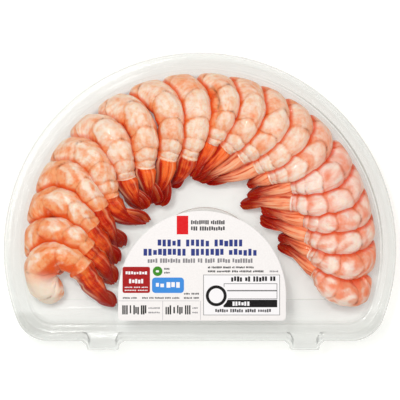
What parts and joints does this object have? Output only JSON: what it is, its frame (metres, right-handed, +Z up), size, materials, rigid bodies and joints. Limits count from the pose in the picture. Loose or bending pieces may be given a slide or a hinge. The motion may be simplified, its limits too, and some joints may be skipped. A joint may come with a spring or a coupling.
{
  "type": "shrimp cocktail",
  "caption": "Shut half-moon clear plastic pack of cooked, peeled, tail-on shrimps shingled in an arc round a pot of cocktail sauce, with a clear lid, pull tabs and a label.",
  "frame": {"origin": "middle of the pack's footprint, on the surface it stands on", "axes": "+X along the straight front edge, +Y from the straight edge to the round side, +Z up"},
  "size_m": [0.3, 0.2274, 0.0454],
  "materials": {
    "clear_plastic": "clear, glossy thermoformed sheet with a faint grey-green tint",
    "label": "coated paper, white with plain fields of colour",
    "pot_plastic": "milky, slightly translucent",
    "sauce": "wet, thick tomato sauce",
    "seal_film": "clear film",
    "cooked_shrimp": "wet cooked flesh, cream with coral bands, orange shell at the tail and a dark red fan"
  },
  "bodies": {
    "root": {"tray": "clear_plastic", "lid": "clear_plastic", "label": "label", "sauce_pot": "pot_plastic", "sauce": "sauce", "sauce_seal": "seal_film", "shrimp_01": "cooked_shrimp", "shrimp_02": "cooked_shrimp", "shrimp_03": "cooked_shrimp", "shrimp_04": "cooked_shrimp", "shrimp_05": "cooked_shrimp", "shrimp_06": "cooked_shrimp", "shrimp_07": "cooked_shrimp", "shrimp_08": "cooked_shrimp", "shrimp_09": "cooked_shrimp", "shrimp_10": "cooked_shrimp", "shrimp_11": "cooked_shrimp", "shrimp_12": "cooked_shrimp", "shrimp_13": "cooked_shrimp", "shrimp_14": "cooked_shrimp", "shrimp_15": "cooked_shrimp", "shrimp_16": "cooked_shrimp", "shrimp_17": "cooked_shrimp", "shrimp_18": "cooked_shrimp", "shrimp_19": "cooked_shrimp", "shrimp_20": "cooked_shrimp"}
  },
  "joints": []
}
